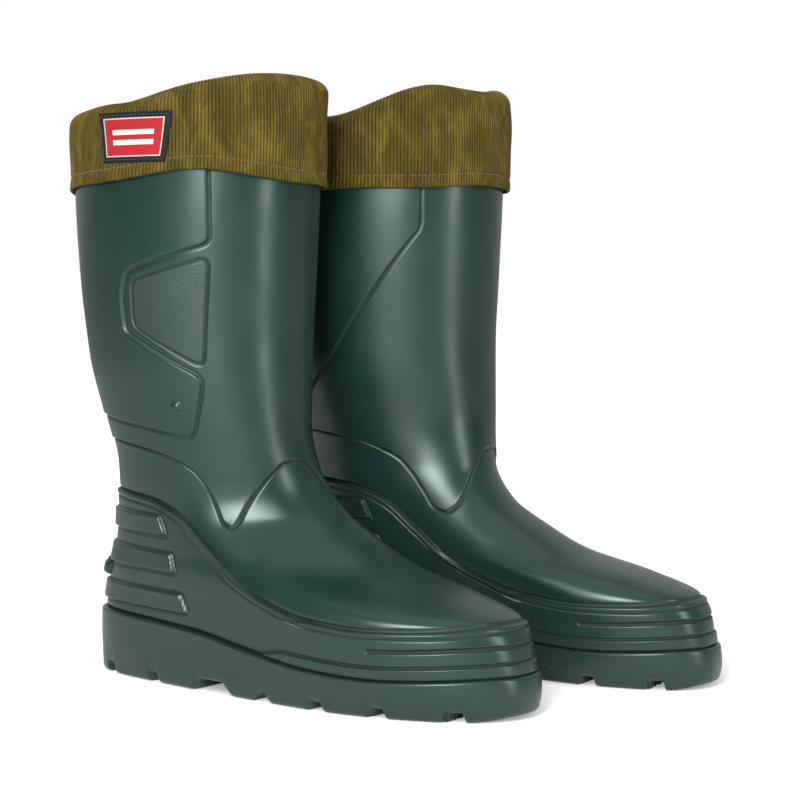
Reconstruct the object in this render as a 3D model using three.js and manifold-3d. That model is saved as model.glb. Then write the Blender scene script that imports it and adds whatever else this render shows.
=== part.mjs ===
// A pair of insulated hunting boots: one-piece moulded EVA boots, each with a lift-out insulated
// liner whose corduroy cuff is turned down over the top of the shaft.
// Millimetres. Each boot is modelled as a right boot, its shaft round the Z axis, with +X to the
// toes, +Y to the inner side of the foot and +Z up. The left boot is its mirror image.
import * as THREE from 'three';
import { mergeVertices } from 'three/addons/utils/BufferGeometryUtils.js';
import Module from 'manifold-3d';

const wasm = await Module();
wasm.setup();

// Overall sizes of the boot's outside
const FOOT_LENGTH = 304; // heel to toe of the upper, inside the sole's rim
const BALL_HALF_WIDTH = 53; // middle of the ball to either side
const ANKLE_HEIGHT = 135; // where the shape of the foot has become the shaft
const SHELL_HEIGHT = 338; // top of the moulded shaft
const TOP_HALF_WIDTH = 66; // half the shaft's width at its top

// The moulded shell
const WALL = 4.5;
const FLOOR = 24; // thickness of the sole under the foot
const SOLE_RIM = 4.5; // the sole stands this far out from the upper
const RAND_RIM = 1.5; // and the rand above it this far
const LEDGE = 1.5; // height of the step above the sole and above the rand
const SOLE_EDGE_ROUND = 3;

// Tread: places along the foot are shares of its length, in front of the shaft's axis
const HEEL_GROOVES = { at: [-0.235, -0.086], width: 7 };
const BALL_GROOVES = { at: [0.227, 0.368, 0.503, 0.645], width: 9 };
const TREAD_DEPTH = 6;
const TREAD_FLARE = 2; // each groove is this much wider at the ground than at its root
const ARCH = { from: 0.03, to: 0.142, depth: 8, slope: 7 };
const TOE_SPRING = { from: 0.67, to: 0.74, lift: 3 };

// The liner, from the shell inwards, and its parts
const GAP = 0.3; // between two pieces that touch
const LINER_LAYERS = [
  { name: 'liner_felt', thickness: 3, look: 'felt' },
  { name: 'liner_foil', thickness: 0.4, look: 'foil' },
  { name: 'liner_foam', thickness: 2, look: 'foam' },
  { name: 'liner_fleece', thickness: 2.5, look: 'fleece' },
];
const LAYER_GAP = 0.4; // between the liner's layers
const EDGE_GAP = 0.6; // over the layers' raw edges, and over the tape that binds them
const INSOLE = { thickness: 5, ease: 1.2 }; // cut smaller than the liner's floor by the ease
const BINDING = { thickness: 0.8, height: 8 };

// The cuff: cloth turned down from the liner's mouth over the shaft
const CUFF_CLOTH = 2.5;
const CUFF_BOTTOM = SHELL_HEIGHT - 32; // height of the lower edge
const CUFF_BACK = SHELL_HEIGHT + 16; // height of the fold over the calf
const CUFF_FRONT = SHELL_HEIGHT + 34; // and over the shin
const CUFF_RISE = { from: -0.092, to: 0.164 }; // shares of the foot's length where the fold climbs
const CUFF_TUCK = 32; // cloth that runs down inside the mouth
const CUFF_SHOULDER = 8; // height of the fold's rounding
const HEM = 10; // stitching above the lower edge
const THREAD = 0.8;
const LABEL = {
  middle: -83, // degrees round the boot, on the outer side
  topWidth: 46,
  bottomWidth: 37,
  height: 30,
  above: 14, // lower edge over the cuff's lower edge
  thickness: 0.8,
  seam: 2, // stitching inside the label's edge
};

// How the pair stands
const PAIR_SPACING = 143.5;
const LEFT_AHEAD = 46;
const TOE_OUT = 4; // degrees, each boot

// Sampling
const OUTER_SIDES = 36;
const INNER_SIDES = OUTER_SIDES / 2;

const { cos, sin, sign, abs, min, max, PI } = Math;
const { degToRad, smoothstep } = THREE.MathUtils;

/** A monotone cubic curve through [x, y] points, level beyond its ends. */
function curveThrough(points) {
  const last = points.length - 1;
  const rise = points.slice(1).map(([x, y], i) => (y - points[i][1]) / (x - points[i][0]));
  const slope = points.map((_, i) => {
    if (i === 0 || i === last || rise[i - 1] * rise[i] <= 0) return 0;
    return (2 * rise[i - 1] * rise[i]) / (rise[i - 1] + rise[i]);
  });
  slope[0] = rise[0];
  slope[last] = rise[last - 1];
  return (x) => {
    if (x <= points[0][0]) return points[0][1];
    if (x >= points[last][0]) return points[last][1];
    const i = points.findIndex(([px]) => px > x) - 1;
    const [x0, y0] = points[i];
    const [x1, y1] = points[i + 1];
    const h = x1 - x0;
    const t = (x - x0) / h;
    const u = 1 - t;
    return u * u * (1 + 2 * t) * y0 + t * t * (1 + 2 * u) * y1
      + h * t * u * (u * slope[i] - t * slope[i + 1]);
  };
}

// Heights are given in shares: 0 to 1 is the ground to the ankle, 1 to 2 the ankle to the top.
const height = (share) =>
  share < 1 ? share * ANKLE_HEIGHT : ANKLE_HEIGHT + (share - 1) * (SHELL_HEIGHT - ANKLE_HEIGHT);
const alongFoot = (points) =>
  curveThrough(points.map(([share, percent]) => [height(share), (percent / 100) * FOOT_LENGTH]));

// The boot's outline from the side, in per cent of the foot's length from the shaft's axis
const backLine = alongFoot([
  [0, -29.8], [0.1, -29.3], [0.3, -29.0], [0.47, -27.3], [0.63, -25.1], [0.8, -23.9],
  [1, -23.6], [1.16, -25.9], [1.33, -28.8], [1.58, -31.0], [1.82, -32.1], [2, -32.5],
]);
const frontLine = alongFoot([
  [0, 71.6], [0.1, 72.0], [0.3, 71.0], [0.4, 69.0], [0.48, 59.4], [0.57, 44.8], [0.67, 35.6],
  [0.8, 26.4], [0.97, 20.6], [1.13, 18.9], [1.33, 18.6], [1.58, 19.3], [1.82, 20.1], [2, 20.6],
]);

// Half of its width, in shares of the ball's up to the ankle and of the top's from there on
const halfWidth = curveThrough(
  [
    [0, 0.75], [0.1, 0.85], [0.3, 0.95], [0.47, 1], [0.63, 0.92], [0.8, 0.88], [0.95, 0.9],
  ].map(([share, part]) => [height(share), part * BALL_HALF_WIDTH])
    .concat([
      [1.16, 0.81], [1.33, 0.91], [1.58, 0.975], [1.82, 1], [2, 1],
    ].map(([share, part]) => [height(share), part * TOP_HALF_WIDTH])),
);

// The foot's width from heel (-1) to toe (1) on either side of its middle line
const outerSide = curveThrough([
  [-1, 0.78], [-0.7, 0.78], [-0.35, 0.84], [0, 0.93], [0.35, 1.05], [0.6, 1.08], [0.8, 1.05], [1, 0.95],
]);
const innerSide = curveThrough([
  [-1, 0.82], [-0.7, 0.8], [-0.35, 0.74], [0, 0.8], [0.35, 1], [0.6, 1.08], [0.8, 1.06], [1, 1],
]);
const TOE_BEND = 13; // the toes and the instep lie this far to the inside
const OUTER_SLOPE = 0.2; // share by which the instep is narrower on its outer side, at most
const SHAFT_POWER = 2.15; // 2 is an ellipse, more is squarer
const FOOT_POWER = 2.6;

// Heights over which the foot's outline turns into the shaft's, and over which the bend goes
const FOOT_FADE = [0.37, 1].map(height);
const BEND_FADE = [0.75, 1.15].map(height);
const SLOPE_START = [0.42, 0.62].map(height);
const SLOPE_FADE = [0.75, 1].map(height);

// Inside the boot, a wall over the vamp comes down by this share of its depth
const VAMP_SINK = 0.7;
const VAMP_START = height(0.4);
const VAMP_END = [1, 1.15].map(height);

// Top edge of the sole and of the rand: share of the foot's length, share of the ankle's height
const soleTop = alongX([
  [-0.32, 0.31], [-0.15, 0.3], [0.05, 0.28], [0.2, 0.23], [0.34, 0.185], [0.5, 0.165], [0.7, 0.185],
]);
const randTop = alongX([
  [-0.25, 0.89], [-0.06, 0.86], [0.02, 0.8], [0.1, 0.67], [0.18, 0.54],
  [0.26, 0.46], [0.36, 0.4], [0.5, 0.375], [0.6, 0.38], [0.7, 0.4],
]);

function alongX(points) {
  return curveThrough(points.map(([share, rise]) => [share * FOOT_LENGTH, height(rise)]));
}

/** Outline of the plain upper, or one inside it, at an angle, 0 at the toes, and a height. */
function upper(angle, z, inset = 0) {
  const inShaft = min(z, SHELL_HEIGHT);
  const foot = 1 - smoothstep(inShaft, ...FOOT_FADE);
  const power = 2 / (SHAFT_POWER + (FOOT_POWER - SHAFT_POWER) * foot);
  const along = sign(cos(angle)) * abs(cos(angle)) ** power;
  const across = sign(sin(angle)) * abs(sin(angle)) ** power;
  const sloping = smoothstep(inShaft, ...SLOPE_START) - smoothstep(inShaft, ...SLOPE_FADE);
  const slope = across > 0 ? 0 : OUTER_SLOPE * sloping * smoothstep(along, 0.1, 0.8);
  const side = (across > 0 ? innerSide : outerSide)(along);
  const bend = TOE_BEND * max((along + 0.1) / 1.1, 0) ** 2 * (1 - smoothstep(inShaft, ...BEND_FADE));
  const back = backLine(inShaft);
  const front = frontLine(inShaft);
  return new THREE.Vector3(
    (back + front) / 2 + ((front - back) / 2 - inset) * along,
    (halfWidth(inShaft) * (1 - slope) * (1 + foot * (side - 1)) - inset) * across + bend,
    z,
  );
}

/** The point that lies `out` mm outside the upper, square to its surface. */
function skin(angle, z, out) {
  const turn = 0.01;
  const rise = 1;
  const round = upper(angle + turn, z).sub(upper(angle - turn, z));
  const up = upper(angle, z + rise).sub(upper(angle, z - rise));
  return upper(angle, z).addScaledVector(round.cross(up).normalize(), out);
}

/** A point inside the upper at a height: the outline shrinks by the depth and the vamp sinks. */
function lining(angle, z, depth) {
  const inFoot = smoothstep(z, FLOOR, VAMP_START) - smoothstep(z, ...VAMP_END);
  const point = upper(angle, z + VAMP_SINK * depth * inFoot, depth);
  point.z = z;
  return point;
}

/** The point `out` mm outside the upper, or inside it if negative, at an exact height. */
function level(angle, z, out) {
  if (out < 0) return lining(angle, z, -out);
  const point = skin(angle, z, out);
  point.z = z;
  return point;
}

/** Height at which a line drawn along the foot crosses the upper at an angle. */
function heightOn(line, angle) {
  let z = line(0);
  for (let pass = 0; pass < 6; pass += 1) z = line(upper(angle, z).x);
  return z;
}

/** Height of the cuff's fold at an angle. */
function foldHeight(angle) {
  const { from, to } = CUFF_RISE;
  const climbed = smoothstep(upper(angle, SHELL_HEIGHT).x / FOOT_LENGTH, from, to);
  return CUFF_BACK + (CUFF_FRONT - CUFF_BACK) * climbed;
}

const ring = (sides, pointAt) =>
  Array.from({ length: sides }, (_, i) => pointAt((2 * PI * i) / sides));

/**
 * Triangles between two rings. One ring may have twice as many points as the other.
 * A diagonal starts from the lower ring, or from the outer one of two level rings, so that
 * walls inside each other and edges over each other never cross.
 */
function strip(a, b) {
  const count = min(a.length, b.length);
  const drop = a[0].z - b[0].z;
  const fromB = drop > 0 || (drop === 0 && b[0].length() > a[0].length());
  const faces = [];
  for (let i = 0; i < count; i += 1) {
    const j = (i + 1) % count;
    if (a.length === b.length && fromB) {
      faces.push(a[i], a[j], b[i], a[j], b[j], b[i]);
    } else if (a.length === b.length) {
      faces.push(a[i], a[j], b[j], a[i], b[j], b[i]);
    } else if (a.length > b.length) {
      const next = a[(2 * i + 2) % a.length];
      faces.push(a[2 * i], a[2 * i + 1], b[i], a[2 * i + 1], b[j], b[i], a[2 * i + 1], next, b[j]);
    } else {
      const next = b[(2 * i + 2) % b.length];
      faces.push(a[i], b[2 * i + 1], b[2 * i], a[i], a[j], b[2 * i + 1], a[j], next, b[2 * i + 1]);
    }
  }
  return faces;
}

/** Triangles that close a ring at its middle. */
function lid(loop, facesUp) {
  const hub = loop.reduce((sum, p) => sum.add(p), new THREE.Vector3()).divideScalar(loop.length);
  return loop.flatMap((p, i) => {
    const next = loop[(i + 1) % loop.length];
    return facesUp ? [hub, p, next] : [hub, next, p];
  });
}

function geometryOf(points) {
  const geometry = new THREE.BufferGeometry().setFromPoints(points);
  geometry.computeVertexNormals();
  return geometry;
}

/** A closed body over rings that run up its outside and back down its inside. */
function cup(rings) {
  const walls = rings.slice(1).flatMap((loop, i) => strip(rings[i], loop));
  return geometryOf([...lid(rings[0], false), ...walls, ...lid(rings.at(-1), true)]);
}

/** A closed hoop: its rings follow one section round. */
function hoop(rings) {
  return geometryOf(rings.flatMap((loop, i) => strip(loop, rings[(i + 1) % rings.length])));
}

function solidOf(geometry) {
  const bare = geometry.index ? geometry.toNonIndexed() : geometry.clone();
  bare.deleteAttribute('normal');
  bare.deleteAttribute('uv');
  const merged = mergeVertices(bare, 1e-3);
  return new wasm.Manifold(new wasm.Mesh({
    numProp: 3,
    vertProperties: merged.attributes.position.array,
    triVerts: new Uint32Array(merged.index.array),
  }));
}

function geometryFrom(solid) {
  const { numProp, vertProperties, triVerts } = solid.getMesh();
  const geometry = new THREE.BufferGeometry();
  const positions = new THREE.InterleavedBuffer(vertProperties, numProp);
  geometry.setAttribute('position', new THREE.InterleavedBufferAttribute(positions, 3, 0));
  geometry.setIndex(new THREE.BufferAttribute(triVerts, 1));
  return geometry;
}

// ---------------------------------------------------------------- the moulded shell

// Heights of the rows of points inside the boot, from above the floor to the top of the shell
const INNER_ROWS = [0.33, 0.41, 0.5, 0.6, 0.76, 1, 1.4, 1.7].map(height);

/** Rows up the inside of the shell, moved inwards by a depth, from a floor to the shell's top. */
function insideRows(depth, floor) {
  return [
    ring(INNER_SIDES, (angle) => level(angle, floor, -depth)),
    ...INNER_ROWS.map((z) => ring(INNER_SIDES, (angle) => level(angle, z, -depth))),
    ring(INNER_SIDES, (angle) => level(angle, SHELL_HEIGHT, -depth)),
  ];
}

/** A bar across the sole: an outline in the XZ plane, as wide as the boot and more. */
function acrossSole(outline) {
  const width = 4 * BALL_HALF_WIDTH;
  const shape = new THREE.Shape(outline.map(([x, z]) => new THREE.Vector2(x, z)));
  const geometry = new THREE.ExtrudeGeometry(shape, { depth: width, bevelEnabled: false });
  return solidOf(geometry.rotateX(PI / 2).translate(0, width / 2, 0));
}

function treadCuts() {
  const below = -1;
  /** A cut between two places at the ground, its ends sloping in by `slope` up to `depth`. */
  const notch = (from, to, slope, depth) =>
    acrossSole([[from, below], [to, below], [to - slope, depth], [from + slope, depth]]);
  const grooves = [HEEL_GROOVES, BALL_GROOVES].flatMap(({ at, width }) => at.map((share) => {
    const x = share * FOOT_LENGTH;
    const reach = width / 2 + TREAD_FLARE;
    return notch(x - reach, x + reach, TREAD_FLARE, TREAD_DEPTH);
  }));
  const arch = notch(ARCH.from * FOOT_LENGTH, ARCH.to * FOOT_LENGTH, ARCH.slope, ARCH.depth);
  const springFrom = TOE_SPRING.from * FOOT_LENGTH;
  const toe = acrossSole([
    [springFrom, below], [FOOT_LENGTH, below], [FOOT_LENGTH, TOE_SPRING.lift],
    [TOE_SPRING.to * FOOT_LENGTH, TOE_SPRING.lift], [springFrom, 0],
  ]);
  return [...grooves, arch, toe];
}

function shell() {
  const aboveRand = [0.06, 0.16, 0.28, 0.44, 0.68, 1];
  const outside = [
    ring(OUTER_SIDES, (a) => level(a, 0, SOLE_RIM - SOLE_EDGE_ROUND)),
    ring(OUTER_SIDES, (a) => level(a, SOLE_EDGE_ROUND, SOLE_RIM)),
    ring(OUTER_SIDES, (a) => level(a, heightOn(soleTop, a), SOLE_RIM)),
    ring(OUTER_SIDES, (a) => level(a, heightOn(soleTop, a) + LEDGE, RAND_RIM)),
    ring(OUTER_SIDES, (a) => skin(a, heightOn(randTop, a), RAND_RIM)),
    ...aboveRand.map((share) => ring(OUTER_SIDES, (a) => {
      const rand = heightOn(randTop, a) + LEDGE;
      return skin(a, rand + share * (ANKLE_HEIGHT - rand), 0);
    })),
    ...[1.16, 1.4, 1.62].map((share) => ring(OUTER_SIDES, (a) => skin(a, height(share), 0))),
    ring(OUTER_SIDES, (a) => level(a, CUFF_BOTTOM, 0)),
    ring(OUTER_SIDES, (a) => level(a, SHELL_HEIGHT, 0)),
  ];
  const body = solidOf(cup([...outside, ...insideRows(WALL, FLOOR).reverse()]));
  return geometryFrom(treadCuts().reduce((solid, cut) => solid.subtract(cut), body));
}

// ---------------------------------------------------------------- the liner

// Depth of each layer's outer face inside the boot's outside, and of its floor above the ground
const layerDepth = (index) =>
  LINER_LAYERS.slice(0, index).reduce((sum, layer) => sum + layer.thickness + LAYER_GAP, WALL + GAP);
const LINER_DEPTH = layerDepth(LINER_LAYERS.length) - LAYER_GAP;
const floorAt = (depth) => FLOOR + depth - WALL;
const stackTop = (angle) => foldHeight(angle) - CUFF_CLOTH - BINDING.thickness - 2 * EDGE_GAP;

function linerLayer(index) {
  const outer = layerDepth(index);
  const inner = outer + LINER_LAYERS[index].thickness;
  const edge = (depth) => ring(INNER_SIDES, (a) => level(a, stackTop(a), -depth));
  return cup([
    ...insideRows(outer, floorAt(outer)), edge(outer),
    edge(inner), ...insideRows(inner, floorAt(inner)).reverse(),
  ]);
}

function insole() {
  const bottom = floorAt(LINER_DEPTH) + GAP;
  const loop = (z) => ring(INNER_SIDES, (a) => level(a, z, -LINER_DEPTH - INSOLE.ease));
  return cup([loop(bottom), loop(bottom + INSOLE.thickness)]);
}

/** A tape folded over the raw edges of the liner's layers. */
function binding() {
  const tape = BINDING.thickness;
  const outer = -layerDepth(0) + GAP;
  const inner = -LINER_DEPTH - GAP;
  const section = [
    [outer + tape, -BINDING.height], [outer + tape, EDGE_GAP + tape],
    [inner - tape, EDGE_GAP + tape], [inner - tape, -BINDING.height],
    [inner, -BINDING.height], [inner, EDGE_GAP], [outer, EDGE_GAP], [outer, -BINDING.height],
  ];
  return hoop(section.map(([out, rise]) =>
    ring(INNER_SIDES, (a) => level(a, stackTop(a) + rise, out))));
}

// ---------------------------------------------------------------- the cuff

// How far the cuff's outer and inner faces lie from the outside of the shell
const CUFF_INSIDE = GAP;
const CUFF_OUTSIDE = GAP + CUFF_CLOTH;

function cuff() {
  const bindingOut = -layerDepth(0) + GAP + BINDING.thickness;
  const bindingIn = -LINER_DEPTH - GAP - BINDING.thickness;
  const nearBinding = bindingOut + 2 * GAP;
  const tuckOut = bindingIn - 2 * GAP;
  const tuckIn = tuckOut - CUFF_CLOTH;
  const overBinding = (nearBinding + tuckOut) / 2;
  const overShaft = (out, z) => ring(OUTER_SIDES, (a) => level(a, z, out));
  const byFold = (out, drop) => ring(INNER_SIDES, (a) => level(a, foldHeight(a) - drop, out));
  return hoop([
    overShaft(CUFF_OUTSIDE, CUFF_BOTTOM),
    overShaft(CUFF_OUTSIDE, SHELL_HEIGHT + GAP),
    byFold(nearBinding + CUFF_CLOTH, CUFF_SHOULDER),
    byFold(nearBinding, CUFF_SHOULDER / 5),
    byFold(overBinding, 0),
    byFold(tuckOut, CUFF_SHOULDER / 5),
    byFold(tuckIn, CUFF_SHOULDER),
    byFold(tuckIn, CUFF_TUCK),
    byFold(tuckOut, CUFF_TUCK),
    byFold(tuckOut, CUFF_CLOTH),
    byFold(nearBinding, CUFF_CLOTH),
    byFold(nearBinding, CUFF_SHOULDER),
    overShaft(CUFF_INSIDE, SHELL_HEIGHT + GAP),
    overShaft(CUFF_INSIDE, CUFF_BOTTOM),
  ]);
}

/** A thread round the cuff, in a line above its lower edge. */
function hemStitch() {
  const inside = CUFF_OUTSIDE + GAP;
  const z = CUFF_BOTTOM + HEM;
  const section = [[0, -0.5], [1, -0.5], [1, 0.5], [0, 0.5]];
  return hoop(section.map(([out, rise]) =>
    ring(OUTER_SIDES, (a) => level(a, z + rise * THREAD, inside + out * THREAD))));
}

/** A point on the label's place: across from -1 to 1, up from 0 to 1, and out from the cuff. */
function onLabel(across, up, out) {
  const middle = degToRad(LABEL.middle);
  const z = CUFF_BOTTOM + LABEL.above + up * LABEL.height;
  const width = LABEL.bottomWidth + (LABEL.topWidth - LABEL.bottomWidth) * up;
  const step = 0.01;
  const perRadian = upper(middle + step, z).distanceTo(upper(middle - step, z)) / (2 * step);
  return level(middle + (across * width) / 2 / perRadian, z, CUFF_OUTSIDE + GAP + out);
}

function label() {
  const columns = 8;
  const edge = (up, out, reversed) => {
    const row = Array.from({ length: columns + 1 }, (_, i) => onLabel((2 * i) / columns - 1, up, out));
    return reversed ? row.reverse() : row;
  };
  const loop = (out) => [...edge(0, out, false), ...edge(1, out, true)];
  const back = loop(0);
  const front = loop(LABEL.thickness);
  const faces = strip(back, front);
  for (let i = 0; i < columns; i += 1) {
    const j = 2 * columns + 1 - i;
    faces.push(front[i], front[i + 1], front[j], front[i + 1], front[j - 1], front[j]);
    faces.push(back[i], back[j], back[i + 1], back[i + 1], back[j], back[j - 1]);
  }
  return geometryOf(faces);
}

/** A thread round the label, inside its edge. */
function labelStitch() {
  const columns = 6;
  const side = 1 - (2 * LABEL.seam) / LABEL.bottomWidth;
  const low = LABEL.seam / LABEL.height;
  const route = (grow) => {
    const row = (up) => Array.from({ length: columns + 1 }, (_, i) =>
      [((2 * i) / columns - 1) * (side + (2 * grow) / LABEL.bottomWidth), up]);
    const step = grow / LABEL.height;
    return [...row(low - step), ...row(1 - low + step).reverse()];
  };
  const half = THREAD / 2;
  const section = [[-half, 0], [half, 0], [half, THREAD], [-half, THREAD]];
  return hoop(section.map(([grow, out]) =>
    route(grow).map(([across, up]) => onLabel(across, up, LABEL.thickness + GAP + out))));
}

// ---------------------------------------------------------------- the pair

const LOOKS = {
  eva: { color: 0x33453f, roughness: 0.4, metalness: 0 },
  insole: { color: 0x2c2f2d, roughness: 0.9, metalness: 0 },
  felt: { color: 0x8d8b84, roughness: 1, metalness: 0 },
  foil: { color: 0xc9ccd0, roughness: 0.25, metalness: 1 },
  foam: { color: 0xd9d6c8, roughness: 0.95, metalness: 0 },
  fleece: { color: 0xb9b2a0, roughness: 1, metalness: 0 },
  binding: { color: 0x4a4330, roughness: 0.9, metalness: 0 },
  corduroy: { color: 0x6e5a26, roughness: 0.95, metalness: 0 },
  thread: { color: 0x5c4c22, roughness: 0.9, metalness: 0 },
  label: { color: 0x9c2b34, roughness: 0.85, metalness: 0 },
};

function boot(side) {
  const group = new THREE.Group();
  const add = (name, geometry, look) => {
    const mesh = new THREE.Mesh(geometry, new THREE.MeshStandardMaterial(LOOKS[look]));
    mesh.name = `${side}_${name}`;
    group.add(mesh);
  };
  add('shell', shell(), 'eva');
  LINER_LAYERS.forEach(({ name, look }, index) => add(name, linerLayer(index), look));
  add('insole', insole(), 'insole');
  add('binding', binding(), 'binding');
  add('cuff', cuff(), 'corduroy');
  add('hem_stitch', hemStitch(), 'thread');
  add('label', label(), 'label');
  add('label_stitch', labelStitch(), 'thread');
  return group;
}

const right = boot('right');
right.position.set(0, -PAIR_SPACING / 2, 0);
right.rotation.z = -degToRad(TOE_OUT);

const left = boot('left');
left.position.set(LEFT_AHEAD, PAIR_SPACING / 2, 0);
left.rotation.z = degToRad(TOE_OUT);
left.scale.y = -1;

// The origin is on the ground under the middle of the pair.
const pair = new THREE.Group();
pair.add(right, left);
const centre = new THREE.Box3().setFromObject(pair, true).getCenter(new THREE.Vector3());
pair.position.set(-centre.x, -centre.y, 0);

export default pair;
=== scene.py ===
"""A pair of moulded EVA hunting boots with insulated liners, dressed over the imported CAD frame."""
import math

import bpy
import numpy as np
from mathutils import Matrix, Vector


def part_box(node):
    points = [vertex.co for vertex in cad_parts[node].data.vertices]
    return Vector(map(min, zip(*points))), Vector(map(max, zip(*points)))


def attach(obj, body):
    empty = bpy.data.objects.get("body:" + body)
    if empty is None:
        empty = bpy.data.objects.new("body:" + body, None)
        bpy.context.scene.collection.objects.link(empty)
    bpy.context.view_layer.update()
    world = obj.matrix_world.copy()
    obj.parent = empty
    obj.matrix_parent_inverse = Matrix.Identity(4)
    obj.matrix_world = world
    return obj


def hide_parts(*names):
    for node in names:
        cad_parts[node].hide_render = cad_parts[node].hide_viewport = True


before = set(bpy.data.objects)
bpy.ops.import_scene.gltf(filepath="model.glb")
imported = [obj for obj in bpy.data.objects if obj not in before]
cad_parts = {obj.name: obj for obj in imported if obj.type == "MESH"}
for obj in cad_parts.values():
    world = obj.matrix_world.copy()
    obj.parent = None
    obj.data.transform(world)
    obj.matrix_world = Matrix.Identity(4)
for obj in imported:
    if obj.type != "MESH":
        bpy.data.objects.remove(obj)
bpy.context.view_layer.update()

MM = 0.001

# The boot in millimetres: a right boot, its shaft round Z, +X to the toes, +Y to the inner side
FOOT_LENGTH = 304.0
BALL_HALF_WIDTH = 53.0
ANKLE_HEIGHT = 135.0
SHELL_HEIGHT = 338.0
TOP_HALF_WIDTH = 66.0
SOLE_RIM = 4.5
RAND_RIM = 1.5
LINER_DEPTH = 13.9
INSOLE_TOP = 38.7
CUFF_BOTTOM = SHELL_HEIGHT - 32
CUFF_BACK = SHELL_HEIGHT + 16
CUFF_FRONT = SHELL_HEIGHT + 34
TOE_OUT = 4.0
SOLE_BAND = 7.5
HEEL_GROOVES = ((-0.235, 7), (-0.086, 7))
BALL_GROOVES = ((0.227, 9), (0.368, 9), (0.503, 9), (0.645, 9))
TREAD_DEPTH = 6.0
SOLE_STEP = 1.6
SOLE_EDGE_ROUND = 3.0
SOLE_HALF_WIDTH = 46.0
SPINE_ENDS = (-58, 178)
SPINE_SIDE = 3.0
FOOTBED_SPINE = (-40, 150)
FOOTBED_SIDE = 4.0
FOOTBED_HALF_WIDTH = 30.0
FOOTBED_CUP = 1.2
FOOT_TOP = 160.0
HEM = 7.0

# Camera: where it looks from, round and above the front boot
CAMERA_AZIMUTH = 33.3
CAMERA_DROP = 3.43
CAMERA_DISTANCE = 1312.0
CAMERA_HEIGHT = 259.0
CAMERA_AHEAD = 139.7
CAMERA_LENS = 101.3


def curve(points):
    """A monotone cubic curve through (x, y) points, level beyond its ends."""
    x, y = (np.array(v, float) for v in zip(*points))
    h = np.diff(x)
    rise = np.diff(y) / h
    slope = np.zeros(len(x))
    agree = rise[:-1] * rise[1:] > 0
    total = np.where(agree, rise[:-1] + rise[1:], 1)
    slope[1:-1] = np.where(agree, 2 * rise[:-1] * rise[1:] / total, 0)
    slope[0], slope[-1] = rise[0], rise[-1]

    def at(value):
        v = np.clip(value, x[0], x[-1])
        i = np.clip(np.searchsorted(x, v, side="right") - 1, 0, len(h) - 1)
        t = (v - x[i]) / h[i]
        u = 1 - t
        return (u * u * (1 + 2 * t) * y[i] + t * t * (1 + 2 * u) * y[i + 1]
                + h[i] * t * u * (u * slope[i] - t * slope[i + 1]))
    return at


def smooth(value, start, end):
    t = np.clip((np.asarray(value, float) - start) / (end - start), 0, 1)
    return t * t * (3 - 2 * t)


def height(share):
    if share < 1:
        return share * ANKLE_HEIGHT
    return ANKLE_HEIGHT + (share - 1) * (SHELL_HEIGHT - ANKLE_HEIGHT)


def along_foot(points):
    return curve([(height(share), percent / 100 * FOOT_LENGTH) for share, percent in points])


def along_x(points):
    return curve([(share * FOOT_LENGTH, height(rise)) for share, rise in points])


back_line = along_foot([
    (0, -29.8), (0.1, -29.3), (0.3, -29.0), (0.47, -27.3), (0.63, -25.1), (0.8, -23.9),
    (1, -23.6), (1.16, -25.9), (1.33, -28.8), (1.58, -31.0), (1.82, -32.1), (2, -32.5)])
front_line = along_foot([
    (0, 71.6), (0.1, 72.0), (0.3, 71.0), (0.4, 69.0), (0.48, 59.4), (0.57, 44.8), (0.67, 35.6),
    (0.8, 26.4), (0.97, 20.6), (1.13, 18.9), (1.33, 18.6), (1.58, 19.3), (1.82, 20.1), (2, 20.6)])
half_width = curve(
    [(height(s), w * BALL_HALF_WIDTH) for s, w in (
        (0, 0.75), (0.1, 0.85), (0.3, 0.95), (0.47, 1), (0.63, 0.92), (0.8, 0.88), (0.95, 0.9))]
    + [(height(s), w * TOP_HALF_WIDTH) for s, w in (
        (1.16, 0.81), (1.33, 0.91), (1.58, 0.975), (1.82, 1), (2, 1))])
outer_side = curve([(-1, 0.78), (-0.7, 0.78), (-0.35, 0.84), (0, 0.93), (0.35, 1.05),
                    (0.6, 1.08), (0.8, 1.05), (1, 0.95)])
inner_side = curve([(-1, 0.82), (-0.7, 0.8), (-0.35, 0.74), (0, 0.8), (0.35, 1),
                    (0.6, 1.08), (0.8, 1.06), (1, 1)])
sole_top = along_x([(-0.32, 0.31), (-0.15, 0.3), (0.05, 0.28), (0.2, 0.23), (0.34, 0.185),
                    (0.5, 0.165), (0.7, 0.185)])
rand_top = along_x([(-0.25, 0.89), (-0.06, 0.86), (0.02, 0.8), (0.1, 0.67), (0.18, 0.54),
                    (0.26, 0.46), (0.36, 0.4), (0.5, 0.375), (0.6, 0.38), (0.7, 0.4)])


def upper(angle, z, inset=0.0):
    """Points of the plain outline, or one inside it, at angles and heights."""
    angle, z = np.broadcast_arrays(np.asarray(angle, float), np.asarray(z, float))
    zs = np.minimum(z, SHELL_HEIGHT)
    foot = 1 - smooth(zs, height(0.37), height(1))
    power = 2 / (2.15 + 0.45 * foot)
    along = np.sign(np.cos(angle)) * np.abs(np.cos(angle)) ** power
    across = np.sign(np.sin(angle)) * np.abs(np.sin(angle)) ** power
    sloping = smooth(zs, height(0.42), height(0.62)) - smooth(zs, height(0.75), height(1))
    slope = np.where(across > 0, 0, 0.2 * sloping * smooth(along, 0.1, 0.8))
    side = np.where(across > 0, inner_side(along), outer_side(along))
    bend = 13 * np.maximum((along + 0.1) / 1.1, 0) ** 2 * (1 - smooth(zs, height(0.75), height(1.15)))
    back, front = back_line(zs), front_line(zs)
    x = (back + front) / 2 + ((front - back) / 2 - inset) * along
    y = (half_width(zs) * (1 - slope) * (1 + foot * (side - 1)) - inset) * across + bend
    return np.stack([x, y, z], -1)


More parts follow.
